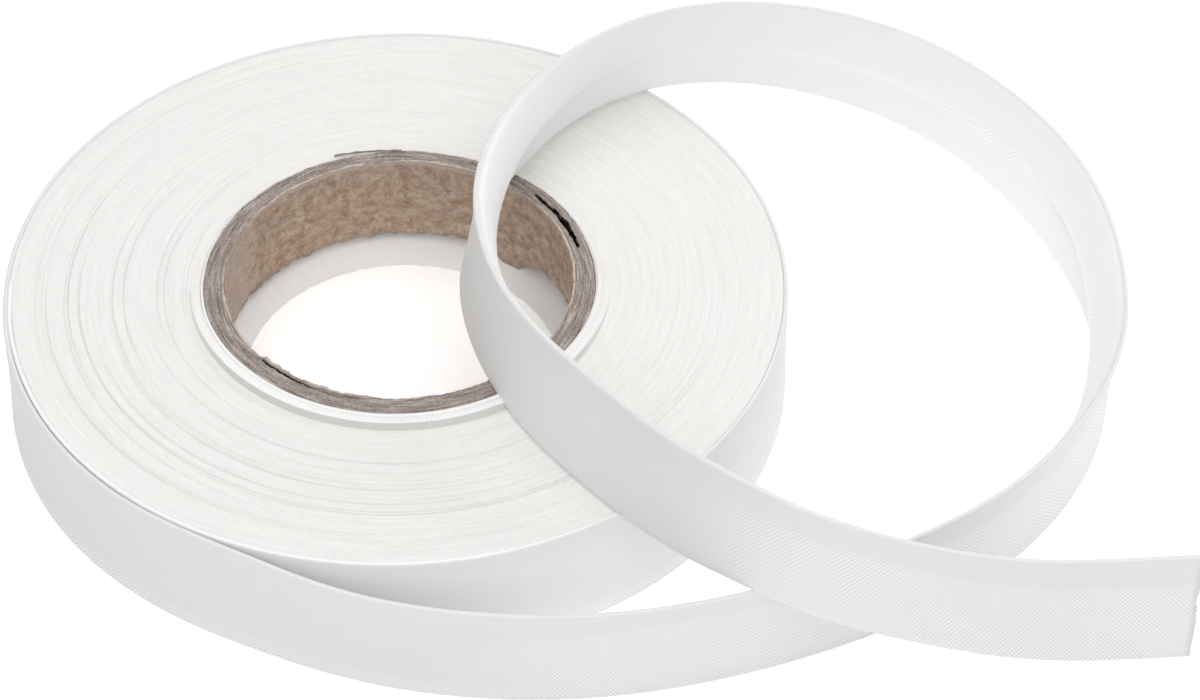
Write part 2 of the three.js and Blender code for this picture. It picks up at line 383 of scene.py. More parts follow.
# Course of the loose stretch: plan place of the lower edge, its height over the table, how far the upper
# edge leans out, how hollow the outer face is and at what height it creases, and how far the raw edges
# of the top and bottom flaps stand off inside
LOOSE_COURSE = [
    Station(-22.1, -43.0, 0.0, -0.4, 0.5, 5.5, 0.35, 0.33),
    Station(-15.0, -46.6, 0.0, -0.2, 0.8, 6.0, 0.35, 0.33),
    Station(-6.0, -50.3, 0.0, 0.5, 1.0, 6.5, 0.35, 0.33),
    Station(10.0, -53.8, 0.0, 0.95, 1.2, 8.5, 0.35, 0.33),
    Station(25.0, -53.7, 0.0, 1.3, 1.2, 10.5, 0.35, 0.33),
    Station(40.0, -50.5, 0.0, 1.45, 1.0, 11.0, 0.6, 0.36),
    Station(57.0, -43.5, 0.0, 1.3, 0.9, 10.5, 0.8, 0.36),
    Station(73.0, -32.3, 0.0, 1.3, 0.8, 10.0, 1.4, 0.36),
    Station(82.5, -19.0, 0.1, 1.4, 0.7, 9.5, 2.3, 0.4),
    Station(86.4, -6.5, 1.4, 1.7, 0.5, 9.0, 2.9, 0.4),
    Station(86.0, 1.0, 3.2, 1.9, 0.3, 8.0, 2.5, 0.4),
    Station(84.0, 8.0, 5.2, 2.5, 0.2, 7.0, 1.5, 0.36),
    Station(80.8, 14.8, 7.2, 2.6, 0.1, 6.6, 0.6, 0.36),
    Station(75.8, 21.8, 9.3, 1.9, 0.1, 6.5, 0.37, 0.34),
    Station(68.4, 28.5, 11.8, 0.7, 0.1, 6.5, 0.35, 0.33),
    Station(55.0, 34.9, 14.4, -0.9, 0.1, 6.5, 0.35, 0.33),
    Station(38.5, 37.3, 15.6, -2.5, 0.1, 6.5, 0.35, 0.33),
    Station(30.2, 36.0, 15.4, -3.0, 0.1, 6.5, 0.35, 0.33),
    Station(21.5, 30.1, 15.4, -2.8, 0.2, 7.0, 0.8, 0.36),
    Station(14.3, 20.0, 15.5, -1.8, 0.3, 8.0, 1.7, 0.36),
    Station(10.1, 10.3, 15.6, -1.6, 0.4, 9.0, 2.7, 0.4),
    Station(7.95, 0.8, 15.7, -2.0, 0.5, 9.5, 3.3, 0.4),
    Station(8.7, -7.2, 15.7, -1.8, 0.5, 10.0, 3.2, 0.4),
    Station(11.9, -17.5, 15.6, -1.5, 0.6, 10.0, 2.2, 0.4),
    Station(16.6, -26.2, 15.5, -2.0, 0.7, 10.2, 1.3, 0.36),
    Station(24.4, -36.0, 15.4, -2.2, 0.8, 10.4, 1.0, 0.36),
    Station(35.0, -46.6, 15.5, -1.8, 0.9, 10.4, 0.8, 0.36),
    Station(41.5, -50.8, 15.5, -1.3, 1.1, 10.3, 0.8, 0.36),
    Station(46.0, -52.7, 14.2, -1.2, 1.1, 10.2, 0.8, 0.36),
    Station(51.2, -53.5, 12.4, -1.1, 1.1, 10.2, 0.8, 0.36),
    Station(63.0, -52.4, 7.2, -1.0, 1.1, 10.2, 0.8, 0.36),
    Station(76.7, -49.7, 1.8, -1.4, 1.0, 10.2, 0.9, 0.4),
    Station(83.2, -48.3, 0.4, -1.6, 0.9, 10.2, 0.9, 0.4),
    Station(94.0, -47.1, 0.0, -1.5, 0.7, 10.2, 1.0, 0.4),
]

OUTER_TURN_START = 47.1
OUTER_TURN_GROWTH = 0.45
OUTER_TURN_LEAD = math.radians(-1.2)
LEAN_ON_STRETCH = math.radians(49)
LEAN_ON_GROWTH = 0.42
LOOSE_SHIFT = 0.4
LOOSENING = 25
STATION_STEP = 1.15
RELAX_REACH = 4.0
EDGE_WANDER = 0.06
FRAYED_REACH = 1.2
END_SLANT = 1.2
END_WAVE = 0.2
END_TEETH = 0.1

# How much weave shows, how far the tape counts as backed on the roll and on its folds, and how much
# painted light the loop gets
FLAP_SHOWS = 0.08
BACKED_SHOWS = 0.2
LOW_FOLD_SHOWS = 0.6
TOP_FOLD_SHOWS = 0.02
RAW_REACH = 1.6
PULLED_FLAT = 0.92
ON_ROLL = 0.45
LOW_FOLD_BACKED = 0.5
TOP_FOLD_BACKED = 0.3
LIGHT_IN_LOOP = 0.35

# Stretches of the tape: from its start, from where it leaves the roll, and back from its cut end
START_LIT = 125
LOOP_FROM_ROLL = 60
LOOP_TO_END = 50
CROSSING_FROM_END = 190
CROSSING_TO_END = 45


def tape_stations():
    """The outermost turn and the stretch that still leans on the roll, then the loose course."""
    rows = []
    for angle in np.arange(OUTER_TURN_LEAD, TAU, math.radians(8)):
        radius = OUTER_TURN_START + OUTER_TURN_GROWTH * angle / TAU
        theta = TURN_START + angle
        rows.append(Station(radius * math.cos(theta) + RIM_OFFSET, radius * math.sin(theta), 0, 0, 0.06, 6,
                            TOP_OVER_BOTTOM, LAYER_PITCH))
    for share in np.linspace(0, 1, 7):
        theta = TURN_START + share * LEAN_ON_STRETCH
        radius = OUTER_TURN_START + OUTER_TURN_GROWTH + LEAN_ON_GROWTH * share
        x = radius * math.cos(theta) + RIM_OFFSET * (1 - share)
        rows.append(Station(x, radius * math.sin(theta), 0, -0.1 * share, 0.06 + 0.4 * share, 6 - share / 2,
                            TOP_OVER_BOTTOM, LAYER_PITCH))
    return np.array(rows + LOOSE_COURSE)


def tape_course():
    """Evenly spaced stations along the tape, with the bends eased as cloth eases them."""
    rows = tape_stations()
    at = np.concatenate([[0], np.cumsum(np.linalg.norm(np.diff(rows[:, :3], axis=0), axis=1))])
    places = np.arange(0, at[-1], STATION_STEP)
    even = spline(at, rows, places)
    eased = relaxed(even, RELAX_REACH / STATION_STEP)
    loose_from = at[len(rows) - len(LOOSE_COURSE)]
    loose = smooth_step((places - loose_from) / LOOSENING)
    course = even * (1 - loose[:, None]) + eased * loose[:, None]
    course[:, 2] = np.maximum(course[:, 2], 0)
    course[:, 6] = np.maximum(course[:, 6], course[:, 7] + TOP_OVER_BOTTOM - LAYER_PITCH)
    return places, course, loose


def tape_section(hollow, crease, top, bottom, fold):
    """Middle line of the cloth across each station, from the bottom flap's raw edge to the top flap's:
    how far out, how far up, the distance along the cloth, how much its weave shows and how far other
    layers back it. All that it takes comes as columns, one row for each station."""
    low, high = fold, TAPE_WIDTH - fold
    soft = 0.45

    def main_face(up):
        side = np.where(up < crease, crease, TAPE_WIDTH - crease)
        x = np.abs(up - crease) / side
        return -hollow * (math.hypot(1, soft) - np.hypot(x, soft)) / (math.hypot(1, soft) - soft)

    def flap(up, start, raw, stand_off, curl):
        """The flap leaves its fold as a drop-shaped roll, then lies on the face or stands off it."""
        share = np.abs((up - start) / (raw - start))
        drop = (2 * fold - LAYER_PITCH) * np.exp(-(np.abs(up - start) / 1.1) ** 1.5)
        return main_face(up) - LAYER_PITCH - drop - (stand_off - LAYER_PITCH) * share ** curl

    turn = np.linspace(0, math.pi, 7)[None, 1:-1]
    raw_low, raw_high = BOTTOM_FLAP, TAPE_WIDTH - TOP_FLAP
    near_raw = np.array([0, 0.004, 0.02])
    from_raw = np.concatenate([near_raw, np.linspace(0, 1, 9)[1:] ** 0.7])[None, :]
    up_bottom = raw_low + (low - raw_low) * from_raw
    up_main = low + (high - low) * np.linspace(0, 1, 29)[None, :]
    to_raw = np.concatenate([np.linspace(0, 1, 12)[:-1] ** 1.4, 1 - near_raw[::-1]])[None, :]
    up_top = high + (raw_high - high) * to_raw
    out = np.concatenate([
        flap(up_bottom, low, raw_low, bottom, 1.2),
        main_face(low) - fold - fold * np.cos(turn),
        main_face(up_main),
        main_face(high) - fold + fold * np.cos(turn),
        flap(up_top, high, raw_high, top, 0.55),
    ], axis=1)
    up_bend_low = low - fold * np.sin(turn)
    up_bend_high = high + fold * np.sin(turn)
    up = np.concatenate([up_bottom, up_bend_low, up_main, up_bend_high, up_top], axis=1)
    across = np.concatenate([[0], np.cumsum(np.hypot(np.diff(out[0]), np.diff(up[0])))])
    # where the weave shows, the tone is also painted a little lighter as a glint: most below the crease, on
    # the low fold and along the raw edges
    main_shows = BACKED_SHOWS + (1 - BACKED_SHOWS) * smooth_step((crease + 1 - up_main) / 2)
    top_shows = FLAP_SHOWS + (1 - FLAP_SHOWS) * smooth_step(1 - (up_top - raw_high) / RAW_REACH)
    bottom_shows = FLAP_SHOWS + (1 - FLAP_SHOWS) * smooth_step(1 - (raw_low - up_bottom) / RAW_REACH)
    shows = np.concatenate([
        bottom_shows, np.full_like(up_bend_low, LOW_FOLD_SHOWS), main_shows,
        np.full_like(up_bend_high, TOP_FOLD_SHOWS), top_shows], axis=1)
    backing_and_lit = np.concatenate([
        np.ones_like(up_bottom), np.full_like(up_bend_low, LOW_FOLD_BACKED), np.zeros_like(up_main),
        np.full_like(up_bend_high, TOP_FOLD_BACKED), np.ones_like(up_top)], axis=1)
    return out, up, np.broadcast_to(across, up.shape), shows, backing_and_lit


def loose_tape():
    rng = np.random.default_rng(11)
    places, course, loose = tape_course()
    foot, lean = course[:, :3], course[:, 3]
    along = np.gradient(foot, axis=0)
    along /= np.linalg.norm(along, axis=1, keepdims=True)
    outward = np.stack([along[:, 1], -along[:, 0], np.zeros(len(along))], axis=1)
    outward /= np.linalg.norm(outward, axis=1, keepdims=True)
    upward = outward * (lean / TAPE_WIDTH)[:, None]
    upward[:, 2] = np.sqrt(TAPE_WIDTH ** 2 - lean ** 2) / TAPE_WIDTH
    fold = FOLD_RADIUS + FOLD_PUFF * loose
    hollow, crease, top, bottom = course.T[4:, :, None]
    out, up, across, shows, backing_and_lit = tape_section(hollow, crease, top, bottom, fold[:, None])
    # the weave is pulled flat where the tape leaves the roll and where it crosses back over it
    away = places - places[loose > 0][0]
    to_end = places[-1] - places
    leaving = 1 - smooth_step((away - LOOSENING) / LOOSENING)
    crossing = smooth_step((CROSSING_FROM_END - to_end) / 20) * smooth_step((to_end - CROSSING_TO_END) / 25)
    above_fold = 1 - 0.8 * smooth_step((2.6 - up) / 1.6)
    shows = shows * (1 - PULLED_FLAT * np.maximum(leaving[:, None] * above_fold, crossing[:, None]))
    # the outermost turn lies on the whole roll: its start, in the loose tape's shade, is painted lighter as
    # light through the loose tape, and its end hangs freer
    turn_length = TAU * OUTER_TURN_START
    on_roll = ON_ROLL + (1 - ON_ROLL) * smooth_step((START_LIT - places) / 40)
    on_roll = on_roll * smooth_step((turn_length + 20 - places) / 120)
    # painted light: light comes through the open loop, so its shaded outer face is painted lighter than
    # tape near the table
    light_in_loop = LIGHT_IN_LOOP * smooth_step((away - LOOP_FROM_ROLL) / 40) * smooth_step((to_end - LOOP_TO_END) / 40)
    backing_and_lit = np.maximum(backing_and_lit, np.maximum(on_roll, light_in_loop)[:, None])
    out = out + LOOSE_SHIFT * loose[:, None]
    # raw edges wander a little where the cutter followed the threads
    up[:, :3] += EDGE_WANDER * drift(places, 3.0, rng)[:, None]
    up[:, -3:] -= EDGE_WANDER * drift(places, 3.0, rng)[:, None]
    # the cut end slants, with small teeth where threads have dropped out
    end = smooth_step((places - places[-1] + 6) / 6)[:, None]
    tip = smooth_step((places - places[-1] + FRAYED_REACH) / FRAYED_REACH)[:, None]
    ragged = END_WAVE * drift(across[0], 3.0, rng) + END_TEETH * drift(across[0], 0.6, rng)
    ahead = end * END_SLANT * (up / TAPE_WIDTH - 0.5) + tip * ragged[None, :]
    run_out = np.gradient(out, axis=1)
    run_up = np.gradient(up, axis=1)
    length = np.hypot(run_out, run_up)
    # the cloth thins out to loose threads at both raw edges
    from_edge = np.minimum(across[0], across[0][-1] - across[0])
    half = CLOTH / 2 * (RAW_EDGE + (1 - RAW_EDGE) * smooth_step(from_edge / FRAYED_REACH))[None, :]
    sides = []
    for sign in (1, -1):
        side_out = out + sign * half * run_up / length
        side_up = up - sign * half * run_out / length + CLOTH / 2
        sides.append(foot[:, None, :] + outward[:, None, :] * side_out[..., None]
                     + upward[:, None, :] * side_up[..., None] + along[:, None, :] * ahead[..., None])
    points = np.concatenate([sides[0], sides[1][:, ::-1]], axis=1)
    count, columns = points.shape[:2]
    marks = np.zeros((count, columns, 4))
    marks[..., 0] = places[:, None]
    marks[..., 1] = np.concatenate([across, across[:, ::-1]], axis=1)
    marks[..., 2] = np.concatenate([shows, shows[:, ::-1]], axis=1)
    marks[..., 3] = np.concatenate([backing_and_lit, backing_and_lit[:, ::-1]], axis=1)
    faces = loft_faces(count, columns, False)
    middle = columns // 2
    k = np.arange(middle - 1)
    start = np.stack([k, k + 1, columns - 2 - k, columns - 1 - k], axis=1)
    faces = np.concatenate([faces, start, start[:, ::-1] + (count - 1) * columns])
    points, marks = points.reshape(-1, 3), marks.reshape(-1, 4)
    tape = piece("loose_bias_tape", points, faces, POPLIN, marks)
    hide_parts("loose_tape")
    end_line = (sides[0][-1] + sides[1][-1]) / 2
    return tape, places[-1], end_line, along[-1], upward[-1]


def strands(name, roots, ways, lengths, radius, material, rng):
    """Short three-sided strands that bend and thin out a little, joined in one mesh."""
    bend = 0.3
    thinning = 0.5
    stations = np.linspace(0, 1, 4)
    points, faces = [], []
    for root, way, length in zip(roots, ways, lengths):
        way = way / np.linalg.norm(way)
        side = np.cross(way, rng.normal(size=3))
        side /= np.linalg.norm(side)
        other = np.cross(way, side)
        base = len(points)
        for share in stations:
            middle = root + way * length * share + side * length * bend * share ** 2
            thick = radius * (1 - thinning * share)
            for corner in range(3):
                angle = corner * TAU / 3
                points.append(middle + thick * (side * math.cos(angle) + other * math.sin(angle)))
        for ring in range(len(stations) - 1):
            for corner in range(3):
                a = base + ring * 3 + corner
                b = base + ring * 3 + (corner + 1) % 3
                faces.append([a, b, b + 3])
                faces.append([a, b + 3, a + 3])
        last = base + 3 * (len(stations) - 1)
        faces.append([base + 2, base + 1, base])
        faces.append([last, last + 1, last + 2])
    return piece(name, np.array(points), faces, material)


def frayed_end(end_line, along, upward):
    """Thread ends of the bias cut, standing out at 45 degrees both ways."""
    rng = np.random.default_rng(5)
    count = 64
    thickness = 0.06
    rooted = 0.1
    face = end_line[len(end_line) // 3: -len(end_line) // 3]
    share = np.linspace(0, len(face) - 1.001, count)
    low = share.astype(int)
    roots = face[low] * (1 - (share - low))[:, None] + face[low + 1] * (share - low)[:, None]
    lean = np.where(np.arange(count) % 2, 1.0, -1.0) + rng.normal(0, 0.15, count)
    ways = along[None, :] + lean[:, None] * upward[None, :]
    lengths = rng.uniform(0.25, 0.6, count)
    roots = roots - rooted * along
    return strands("frayed_thread_ends", roots, ways, lengths, thickness, COTTON_THREAD, rng)


# The wound turns: one long folded edge that spirals out from the core, top and bottom

def collar_rise(angle):
    """How proud the innermost turns stand round the ring: level at the back, highest at the front."""
    return COLLAR_RISE * smooth_step(0.15 - 1.1 * np.sin(angle))


def slack_side(angle):
    """Where the roll was wound slackest: 1 at the front left, 0 at the opposite side."""
    return smooth_step(0.3 + np.cos(angle - SLACK_SIDE))


def turn_edge(top):
    """Points of one end face, by step along the tape and place across a turn, valley to valley."""
    rng = np.random.default_rng(21 if top else 22)
    steps = np.arange(WOUND_STEPS + 1)
    angle = steps * TAU / TURN_STEPS
    radius = WOUND_INNER + TURN_PITCH * steps / TURN_STEPS
    length = np.concatenate([[0], np.cumsum((radius[1:] + radius[:-1]) / 2 * TAU / TURN_STEPS)])
    crest = CREST_WANDER * drift(length, 70, rng) + CREST_RIPPLE * drift(length, 13, rng)
    # most turns lie tight, and some stand a hair apart part of the way round, most at the front left
    slack = TIGHT_SIDE + (1 - TIGHT_SIDE) * slack_side(WOUND_START + angle)
    gap = GAP_LEAST + GAP_MOST * slack * np.clip(drift(length, 75, rng) - 0.5, 0, 1)
    if top:
        crest += collar_rise(WOUND_START + angle) * smooth_step((COLLAR_TURNS - steps / TURN_STEPS) / 0.06)
    drop = np.stack([gap, 0.01 + 0 * gap, 0.015 + 0 * gap], axis=1)
    r = radius[:, None] + TURN_PITCH * np.array([[0.0, 0.28, 0.74]])
    # the flank runs from the last proud turn's crest down to the foot of the turn outside it, and is marked
    # for painted shade
    past = steps / TURN_STEPS - COLLAR_TURNS
    flank = np.stack([(past > 0) * (past < 1), 0 * past, (past > -1) * (past < 0)], axis=1)
    # the tops of the proud turns are marked the other way, below nought
    flank = np.where(flank == 0, -1.0 * (past < 0)[:, None], flank)
    flank = flank * (collar_rise(WOUND_START + angle) / COLLAR_RISE)[:, None] * top
    return angle, length, r, crest[:, None] - drop, flank


def wound_turns():
    columns = 3
    rows = WOUND_STEPS + 1
    grids, marks = [], []
    for top in (True, False):
        angle, length, r, height, flank = turn_edge(top)
        # the outer valley of the last turn closes the face
        tail = slice(rows - TURN_STEPS, rows)
        r_last = WOUND_INNER + TURN_PITCH * (np.arange(rows)[tail] / TURN_STEPS + 1)
        r_last = r_last[:, None] + LAST_VALLEY
        inward = np.clip((WOUND_OUTER - r) / (WOUND_OUTER - WOUND_INNER), 0, 1)
        off_x = RIM_OFFSET + (CORE_OFFSET - RIM_OFFSET) * inward
        off_y = CORE_OFFSET * inward
        theta = WOUND_START + angle[:, None]
        z = TAPE_WIDTH - CREST_BELOW_EDGE + height if top else np.maximum(-height - FOOT_PRESS, 0)
        grid = np.stack([r * np.cos(theta) + off_x, r * np.sin(theta) + off_y, z], axis=-1)
        # it lies close under the outermost turn at the right and deeper at the slack side
        deep = RIM_DEPTH + SLACK_RIM_DEPTH * slack_side(theta[tail])
        edge_z = TAPE_WIDTH - deep if top else 0.1 + deep
        edge_x = r_last * np.cos(theta[tail]) + RIM_OFFSET
        edge = np.stack([edge_x, r_last * np.sin(theta[tail]), edge_z], axis=-1)
        grids.append(np.concatenate([grid.reshape(-1, 3), edge.reshape(-1, 3)]))
        mark = np.stack([np.broadcast_to(length[:, None], r.shape), r, flank], axis=-1)
        edge_mark = np.stack([length[tail][:, None], r_last, np.zeros_like(r_last)], axis=-1)
        marks.append(np.concatenate([mark.reshape(-1, 3), edge_mark.reshape(-1, 3)]))

    def corner(step, place):
        """Number of a point of one face: the last place across a turn is the first of the next turn."""
        beyond = step + TURN_STEPS
        shared = np.where(beyond < rows, beyond * columns, rows * columns + step - (rows - TURN_STEPS))
        return np.where(place == columns, shared, step * columns + place)

    step = np.arange(rows - 1)[:, None]
    place = np.arange(columns)[None, :]
    quads = np.stack([corner(step, place), corner(step, place + 1),
                      corner(step + 1, place + 1), corner(step + 1, place)], axis=-1).reshape(-1, 4)
    count = len(grids[0])
    first, last = np.array(0), np.array(rows - 1)
    around = np.arange(TURN_STEPS)
    inner = np.concatenate([corner(around, 0), [corner(first, k) for k in range(columns, 0, -1)]])
    outer = np.concatenate([[corner(last, k) for k in range(columns)],
                            corner(around + rows - TURN_STEPS, columns)[::-1]])
    walls = []
    for loop in (inner, outer):
        following = np.roll(loop, -1)
        walls.append(np.stack([loop, following, following + count, loop + count], axis=1))
    faces = np.concatenate([quads, quads[:, ::-1] + count, *walls])
    points, marks = np.concatenate(grids), np.concatenate(marks)
    roll = piece("wound_turns", points, faces, WOUND_FOLDS, marks)
    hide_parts("wound_roll")


def turned_ring(name, section, steps, material, shape):
    """A ring round the core's axis from a closed half section of two-number rows, shaped by a rule of its
    angle that gives each point's radius, height and marks."""
    angle = np.linspace(0, TAU, steps, endpoint=False)[:, None]
    first = np.repeat(section[None, :, 0], steps, axis=0)
    second = np.repeat(section[None, :, 1], steps, axis=0)
    r, z, marks = shape(angle, first, second)
    points = np.stack([r * np.cos(angle) + CORE_OFFSET, r * np.sin(angle) + CORE_OFFSET, z], axis=-1)
    faces = loft_faces(steps, len(section), True)
    return piece(name, points.reshape(-1, 3), faces, material, marks.reshape(-1, marks.shape[-1]))


def inner_turns():
    """The tape's inner end: a sleeve between core and first turn, turned in under the core below."""
    rng = np.random.default_rng(31)
    bore = CORE_RADIUS + 0.05
    outside = WOUND_INNER - 0.02
    section = np.array([
        (outside, 0.3), (outside, 5), (outside, 10), (outside, 14.6), (outside, 14.9), (bore + 0.03, 14.95),
        (bore, 14.85), (bore, 12), (bore, 9), (bore, 6), (bore, LIP_TOP + 0.7),
        (bore - 0.25, LIP_TOP + 0.2), (bore - 0.7, LIP_TOP - 0.15), (bore - 1.5, LIP_TOP - 0.65),
        (bore - 2.4, LIP_TOP - 1.2),
        (bore - 3.3, LIP_TOP - 1.8), (LIP_RADIUS + 0.45, 0.5), (LIP_RADIUS + 0.12, 0.14),
        (LIP_RADIUS + 0.01, 0.02), (LIP_RADIUS, 0), (LIP_RADIUS + 0.02, 0), (22, 0), (23.6, 0),
    ])

    def shape(angle, r, z):
        upper = z > 14.8
        under = smooth_step((bore - 0.3 - r) / 2)
        pleat = 0.05 * ring_drift(angle, (37, 53, 71), rng) * under
        sag = 0.12 * ring_drift(angle, (3, 5, 8), rng) * under
        # the outside follows the first turn, which climbs out all the way round
        climb = TURN_PITCH * np.mod(angle - WOUND_START, TAU) / TAU * smooth_step((r - bore - 0.03) / 0.03)
        around = np.broadcast_to(angle * CORE_RADIUS, r.shape)
        marks = np.stack([around, r + z, 0.1 * upper, 0.9 + 0.1 * upper], axis=-1)
        return r + pleat + climb, np.maximum(z + upper * collar_rise(angle) + sag * (z > 0.1), 0), marks

    turned_ring("inner_turns", section, SLEEVE_STEPS, POPLIN, shape)


# The core: plies wound one on another, cut rough and a little out of square

CRACK_FROM, CRACK_TO = math.radians(15), math.radians(44)
CRACK_RADIUS = 22.45
CRACK_HALF_WIDTH = 0.3
CRACK_DEPTH = 3.5
SEAM_ANGLE = math.radians(-139)
SEAM_RUN = math.radians(38)
SEAM_HALF_WIDTH = 0.12
SEAM_DEPTH = 1.6
SEAM_INSET = 0.1
PEEL_ANGLE = math.radians(163)
PEEL_HALF = math.radians(13)
PLY = 0.42
PLIES = 7
PLY_WEAR = 0.08
PLY_GROOVE = 0.14
CUT_WAVE = 0.05
CUT_FUZZ = 0.04
FOOT_TEAR = 0.16
RIM_TEAR = 0.08
CORE_STEPS = 600
FIBRE_RADIUS = 0.035
SLIVER_FROM, SLIVER_TO = math.radians(91), math.radians(111)
SLIVER_LIFT = 0.75
SLIVER_WIDTH = 0.22


def core_bore(angle):
    """Inner radius: the innermost ply ends in a step at the seam, and the wall is thickest at the front."""
    step = PLY * np.mod(angle - SEAM_ANGLE, TAU) / TAU
    return CORE_RADIUS - CORE_WALL + step + BORE_SHIFT * np.sin(angle)


def core_foot(angle):
    """Lower edge: cut out of square, highest at the right, with a torn tag of liner at the back right."""
    skew = (0.5 + 0.5 * np.cos(angle)) ** 5
    off_tag = (np.mod(angle - LINER_TAG + math.pi, TAU) - math.pi) / LINER_TAG_HALF
    return CORE_FOOT + CORE_FOOT_SKEW * skew - LINER_TAG_DROP * np.exp(-off_tag ** 2)


def core_tube():
    rng = np.random.default_rng(41)
    across = np.linspace(0, 1, 31)
    down = np.linspace(0, 1, 26)[1:]
    section = np.concatenate([
        [(0, 1), (0, 0.5), (0, 0.1)],
        np.stack([across, 0 * across], axis=1),
        np.stack([1 + 0 * down, down], axis=1),
        [(0.8, 1), (0.5, 1), (0.2, 1)],
    ])

    def shape(angle, share_in, share_down):
        bore = core_bore(angle)
        foot = core_foot(angle) + FOOT_TEAR * ring_drift(angle, (19, 31, 47, 83), rng)
        top = CORE_TOP + CORE_RIM_RISE * share_in + CUT_WAVE * ring_drift(angle, (13, 29, 61, 97), rng)
        r = CORE_RADIUS + (bore - CORE_RADIUS) * share_in
        z = top + (foot - top) * share_down
        on_top = share_down < 1e-6
        in_bore = share_in > 0.999
        # ply lines: each ply wears to its own height, with a groove between plies
        ply = (r - bore) / PLY
        wear = np.zeros_like(r)
        for number in range(PLIES):
            lift = PLY_WEAR * ring_drift(angle, (3, 7, 17, 41), rng)
            wear += lift * np.exp(-((ply - number - 0.5) / 0.45) ** 4)
        groove = PLY_GROOVE * np.exp(-((ply - np.round(ply)) / 0.15) ** 2)
        groove = groove * np.clip(0.5 + 0.6 * ring_drift(angle, (5, 11, 23), rng), 0, 1)
        fuzz = CUT_FUZZ * rng.normal(size=r.shape)
        z = z + on_top * (wear - groove + fuzz)
        # the plies have parted at the right: a crack that opens and closes along the ring
        share = np.clip((angle - CRACK_FROM) / (CRACK_TO - CRACK_FROM), 0, 1)
        ragged = 1 + 0.22 * ring_drift(angle, (19, 37, 59), rng)
        width = CRACK_HALF_WIDTH * np.sin(math.pi * share) ** 0.5 * ragged
        crack = smooth_step((width - np.abs(r - CRACK_RADIUS)) / 0.1 + 0.5) * (width > 0.03) * on_top
        z = z - crack * CRACK_DEPTH
        # the end of the innermost ply stands off by a hair at the front left
        run = np.mod(angle - SEAM_ANGLE, TAU) / SEAM_RUN
        slit = SEAM_HALF_WIDTH * np.clip(1 - run, 0, 1) ** 0.4
        split = smooth_step((slit - np.abs(r - bore - PLY - SEAM_INSET)) / 0.06 + 0.5) * (slit > 0.01)
        z = z - split * on_top * SEAM_DEPTH
        # torn inner rim, and the liner's own roughness
        rim = np.exp(-((share_down - 0.02) / 0.04) ** 2) * in_bore
        r = r - rim * (RIM_TEAR + 0.1 * ring_drift(angle, (21, 43, 77), rng))
        r = r + in_bore * (0.03 * rng.normal(size=r.shape) + 0.1 * ring_drift(angle, (2, 3, 6), rng))
        # painted shade: a split is painted dark from a little outside its edges, so its lips read dark as
        # well
        dark = smooth_step((width + 0.06 - np.abs(r - CRACK_RADIUS)) / 0.08 + 0.5) * (width > 0.03)
        off_seam = np.abs(r - bore - PLY - SEAM_INSET)
        dark = dark + smooth_step((slit + 0.02 - off_seam) / 0.06 + 0.5) * (slit > 0.01)
        kind = np.where(on_top, 1.0 + np.clip(dark, 0, 1), 0.0) + (share_in < 0.9) * (share_down > 0.99)
        kind = np.where(in_bore & (share_down < 0.05), 0.5, kind)
        # a strip of liner has peeled off at the left, pale where it was
        edge = PEEL_HALF + math.radians(2.5) * np.sin(2.3 * z + 5 * angle) * np.sin(0.9 * z)
        kind = np.where(in_bore & (np.abs(angle - PEEL_ANGLE) < edge) & (share_down < 0.95), 0.25, kind)
        depth = np.where(on_top, r, CORE_TOP - z)
        around = np.broadcast_to(angle * (CORE_RADIUS - CORE_WALL), r.shape)
        return r, z, np.stack([around, depth, kind], axis=-1)

    tube = turned_ring("core_tube", section, CORE_STEPS, PAPERBOARD, shape)
    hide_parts("core")


def core_fibres():
    """Torn paper fibres along the core's inner rim and its lower edge."""
    rng = np.random.default_rng(51)
    count = 520
    angle = rng.uniform(0, TAU, count)
    upper = rng.uniform(size=count) < 0.75
    inner = core_bore(angle) - 0.05
    rim = CORE_TOP + CORE_RIM_RISE - rng.uniform(0, 0.5, count)
    z = np.where(upper, rim, core_foot(angle) + rng.uniform(0, 0.4, count))
    roots = np.stack([inner * np.cos(angle) + CORE_OFFSET, inner * np.sin(angle) + CORE_OFFSET, z], axis=1)
    inward = -np.stack([np.cos(angle), np.sin(angle), 0 * angle], axis=1)
    round_about = np.stack([-np.sin(angle), np.cos(angle), 0 * angle], axis=1)
    ways = inward * rng.uniform(0.05, 0.5, (count, 1)) + round_about * rng.normal(0, 1.4, (count, 1))
    ways[:, 2] = rng.uniform(-0.5, 0.3, count)
    lengths = rng.uniform(0.2, 0.6, count)
    strands("core_fibres", roots, ways, lengths, FIBRE_RADIUS, PAPER_FIBRE, rng)


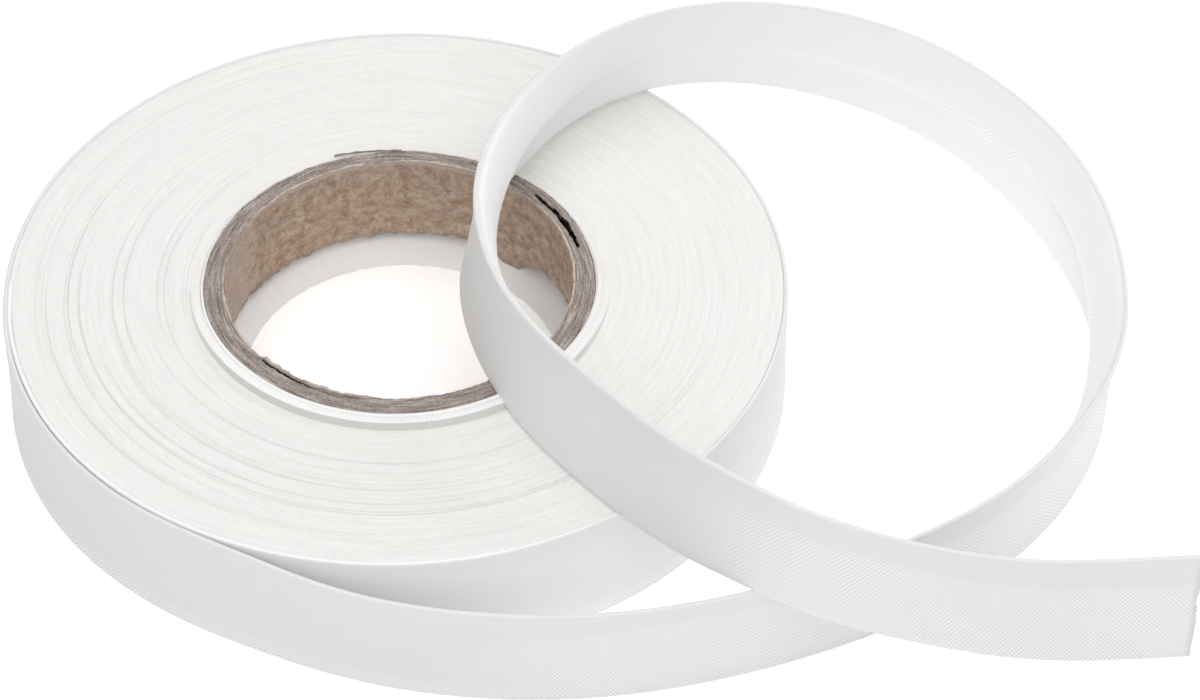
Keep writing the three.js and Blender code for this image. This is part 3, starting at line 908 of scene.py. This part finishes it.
def lifted_ply():
    """A sliver of the outer ply that has lifted off the core's top edge at the back."""
    rng = np.random.default_rng(61)
    count = 40
    angle = np.linspace(SLIVER_FROM, SLIVER_TO, count)
    share = np.linspace(0, 1, count)
    out = CORE_RADIUS - 0.05 + SLIVER_LIFT * share ** 1.3
    wide = SLIVER_WIDTH + 0.06 * ring_drift(angle, (61, 97), rng)
    z = CORE_TOP + 0.02 - 0.1 * share
    loops = []
    for d_r, d_z in ((0, 0), (1, -0.03), (1, 0.1), (0, 0.12)):
        radius = out + d_r * wide
        x = radius * np.cos(angle) + CORE_OFFSET
        y = radius * np.sin(angle) + CORE_OFFSET
        loops.append(np.stack([x, y, z + d_z], axis=1))
    points = np.stack(loops, axis=1)
    ends = np.array([[0, 1, 2, 3], [3, 2, 1, 0]])
    ends[1] += 4 * (count - 1)
    faces = np.concatenate([loft_faces(count, 4, False), ends])
    around = np.repeat((angle * CORE_RADIUS)[:, None], 4, axis=1)
    # kind 1.2 paints the sliver a quarter of the way to a split's near-black, as painted shade along it
    marks = np.stack([around, 0.3 * np.arange(4) + 0 * around, 1.2 + 0 * around], axis=-1)
    points, marks = points.reshape(-1, 3), marks.reshape(-1, 3)
    piece("lifted_outer_ply", points, faces, PAPERBOARD, marks)


tape, tape_length, end_line, end_along, end_upward = loose_tape()
threads = frayed_end(end_line, end_along, end_upward)
wound_turns()
inner_turns()
core_tube()
core_fibres()
lifted_ply()


# Camera, table and light

CAMERA_PLACE = (24.78, -453.34, 434.35)
CAMERA_DIP = math.radians(43.5)
CAMERA_LENS = 152.8
TABLE_REACH = 2.0
TABLE_DROP = 0.00003
TABLE_GLOW = 0.18
SKY_LIGHT = 0.53

camera_data = bpy.data.cameras.new("camera")
camera_data.sensor_fit = "HORIZONTAL"
camera_data.sensor_width = 36
camera_data.lens = CAMERA_LENS
camera_data.clip_start = 0.01
camera = bpy.data.objects.new("camera", camera_data)
camera.location = np.array(CAMERA_PLACE) * MM + ROLL_AXIS
camera.rotation_euler = (math.pi / 2 - CAMERA_DIP, 0, 0)
bpy.context.scene.collection.objects.link(camera)
bpy.context.scene.camera = camera

floor_material, _, floor_surface = blank("matt_white_table", roughness=0.9, specular=0.1)
floor_surface.inputs["Base Color"].default_value = linear("#FDFDFD")
floor_surface.inputs["Emission Color"].default_value = linear("#FFFFFF")
floor_surface.inputs["Emission Strength"].default_value = TABLE_GLOW
floor_mesh = bpy.data.meshes.new("table")
floor_corners = [(x * TABLE_REACH, y * TABLE_REACH, 0) for x, y in ((-1, -1), (1, -1), (1, 1), (-1, 1))]
floor_mesh.from_pydata(floor_corners, [], [(0, 1, 2, 3)])
floor_mesh.materials.append(floor_material)
floor = bpy.data.objects.new("table", floor_mesh)
floor.location.z = -TABLE_DROP
bpy.context.scene.collection.objects.link(floor)

world = bpy.data.worlds.new("soft_studio")
world.use_nodes = True
sky = world.node_tree.nodes["Background"]
sky.inputs["Color"].default_value = (1, 1, 1, 1)
sky.inputs["Strength"].default_value = SKY_LIGHT
bpy.context.scene.world = world


def softbox(name, place, size, watts):
    """A square soft light aimed at the middle of the table, its place and size in metres."""
    light = bpy.data.lights.new(name, "AREA")
    light.shape = "SQUARE"
    light.size = size
    light.energy = watts
    lamp = bpy.data.objects.new(name, light)
    lamp.location = place
    lamp.rotation_euler = (-Vector(place)).to_track_quat("-Z", "Y").to_euler()
    bpy.context.scene.collection.objects.link(lamp)


softbox("overhead_softbox", (0.0, 0.0, 0.8), 0.7, 2.65)
softbox("front_softbox", (0.02, -0.55, 0.52), 0.7, 2.1)
softbox("right_softbox", (0.6, 0.35, 0.4), 0.5, 1.4)
softbox("left_softbox", (-0.7, -0.1, 0.35), 0.5, 0.3)

bpy.context.scene.view_settings.view_transform = "Standard"
